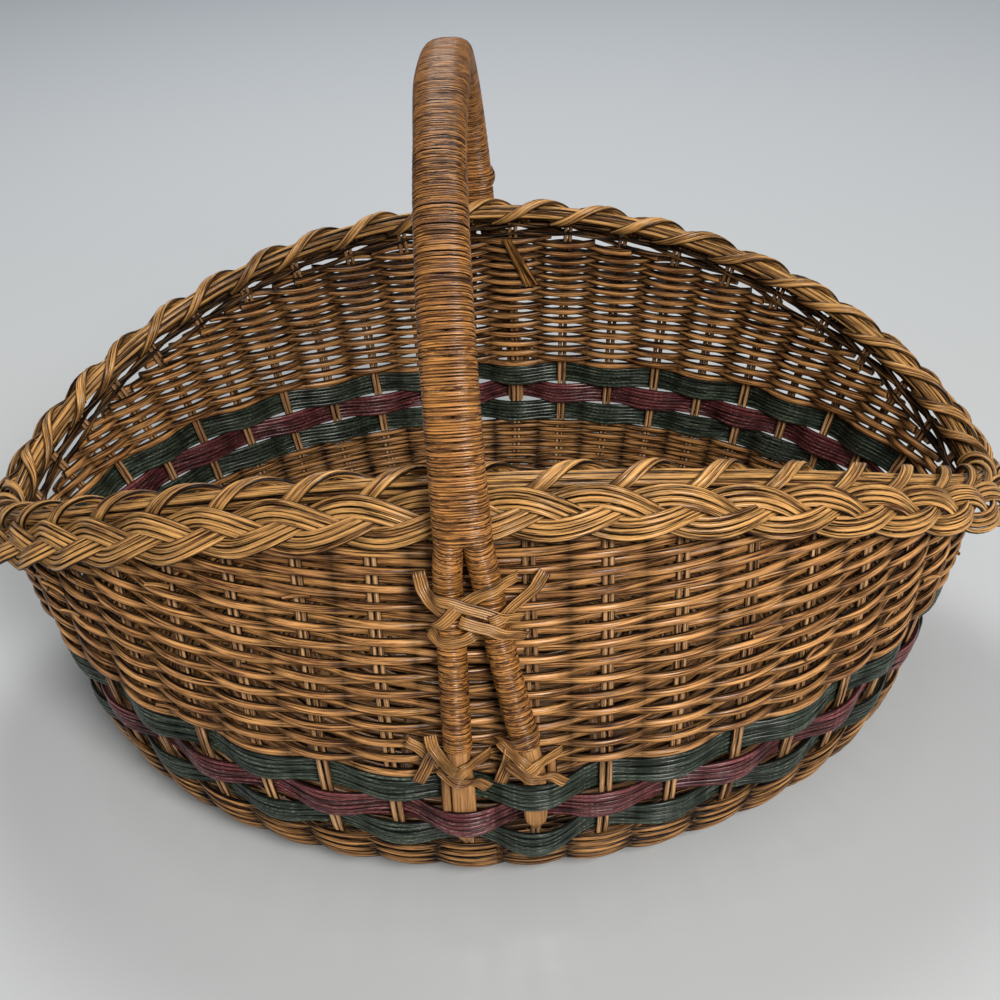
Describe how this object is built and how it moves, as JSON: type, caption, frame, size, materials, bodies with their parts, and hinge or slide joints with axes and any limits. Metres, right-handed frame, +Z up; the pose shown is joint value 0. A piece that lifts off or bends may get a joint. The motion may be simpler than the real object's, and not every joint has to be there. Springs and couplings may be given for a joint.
{
  "type": "harvest basket",
  "caption": "Oval woven reed harvest basket with a saddle-shaped plaited rim, a striped band round its belly and a wrapped bow handle lashed to the long sides.",
  "frame": {"origin": "middle of the flat base, on the floor", "axes": "+X along the basket's long way, +Y to the side away from the pictured side, +Z up"},
  "size_m": [0.5234, 0.4084, 0.3121],
  "materials": {
    "reed": "natural round reed, golden brown, satin",
    "stake_reed": "paler round reed",
    "rim_reed": "natural reed, a little yellower, satin",
    "base_reed": "natural reed, shaded brown",
    "cane": "split cane, varnished, golden to red-brown",
    "green_reed": "dyed dark green reed",
    "burgundy_reed": "dyed burgundy reed"
  },
  "bodies": {
    "root": {"base_cross_stick_1": "base_reed", "base_cross_stick_2": "base_reed", "base_cross_stick_3": "base_reed", "base_cross_stick_4": "base_reed", "base_cross_stick_5": "base_reed", "base_long_stick_1": "base_reed", "base_long_stick_2": "base_reed", "base_long_stick_3": "base_reed", "base_weave": "base_reed", "bow_wrap": "cane", "burgundy_row": "burgundy_reed", "handle_rod_left": "rim_reed", "handle_rod_right": "rim_reed", "leg_wrap_back_left": "cane", "leg_wrap_back_right": "cane", "leg_wrap_front_left": "cane", "leg_wrap_front_right": "cane", "lower_green_row": "green_reed", "lower_lashing_back_left_falling": "cane", "lower_lashing_back_left_rising": "cane", "lower_lashing_back_right_falling": "cane", "lower_lashing_back_right_rising": "cane", "lower_lashing_front_left_falling": "cane", "lower_lashing_front_left_rising": "cane", "lower_lashing_front_right_falling": "cane", "lower_lashing_front_right_rising": "cane", "rim_core_with_stake_loops": "rim_reed", "rim_plait_strand_1": "rim_reed", "rim_plait_strand_2": "rim_reed", "rim_plait_strand_3": "rim_reed", "side_stakes_in_lower_weave": "stake_reed", "top_wale": "reed", "upper_green_row": "green_reed", "upper_lashing_back_falling": "cane", "upper_lashing_back_rising": "cane", "upper_lashing_front_falling": "cane", "upper_lashing_front_rising": "cane", "wall_weave": "reed"}
  },
  "joints": []
}
